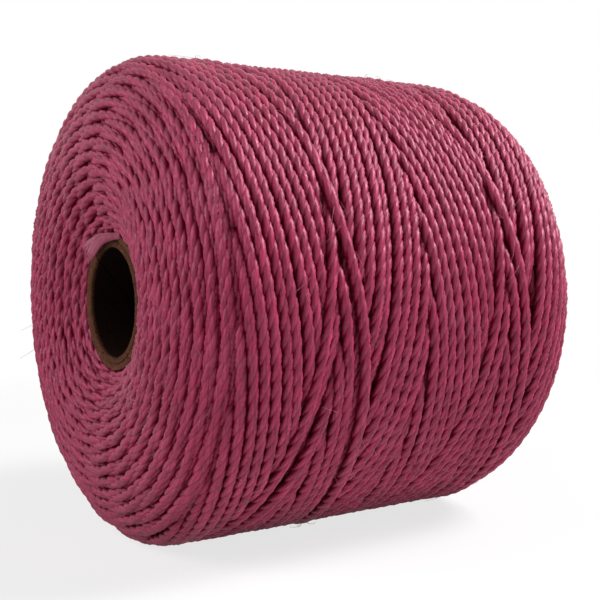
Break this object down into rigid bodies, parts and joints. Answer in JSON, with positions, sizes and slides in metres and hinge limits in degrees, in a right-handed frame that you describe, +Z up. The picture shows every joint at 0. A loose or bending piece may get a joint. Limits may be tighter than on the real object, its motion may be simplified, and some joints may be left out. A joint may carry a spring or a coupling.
{
  "type": "fishing line spool",
  "caption": "Flangeless package of twisted nylon line cross-wound on a short paper tube, lying on its side.",
  "frame": {"origin": "the middle of the tube's bore, halfway along it", "axes": "+X along the bore, from the near end with the line's flat tail to the far end; +Z up, as the spool lies on its side"},
  "size_m": [0.035, 0.038, 0.0379],
  "materials": {
    "inner_paper": "matt brown board, nearly black inside the bore",
    "outer_paper": "matt dark grey-brown board with a cut edge",
    "buried_line": "line seen in the shade between turns",
    "line": "silky three-strand twisted nylon, deep rose pink",
    "tail": "untwisted nylon filaments, pale pink"
  },
  "bodies": {
    "root": {"tube_inner_ply": "inner_paper", "tube_outer_ply": "outer_paper", "buried_turns": "buried_line", "near_end_turns": "line", "drum_turns": "line", "far_end_turns": "line", "start_tail": "tail"}
  },
  "joints": []
}
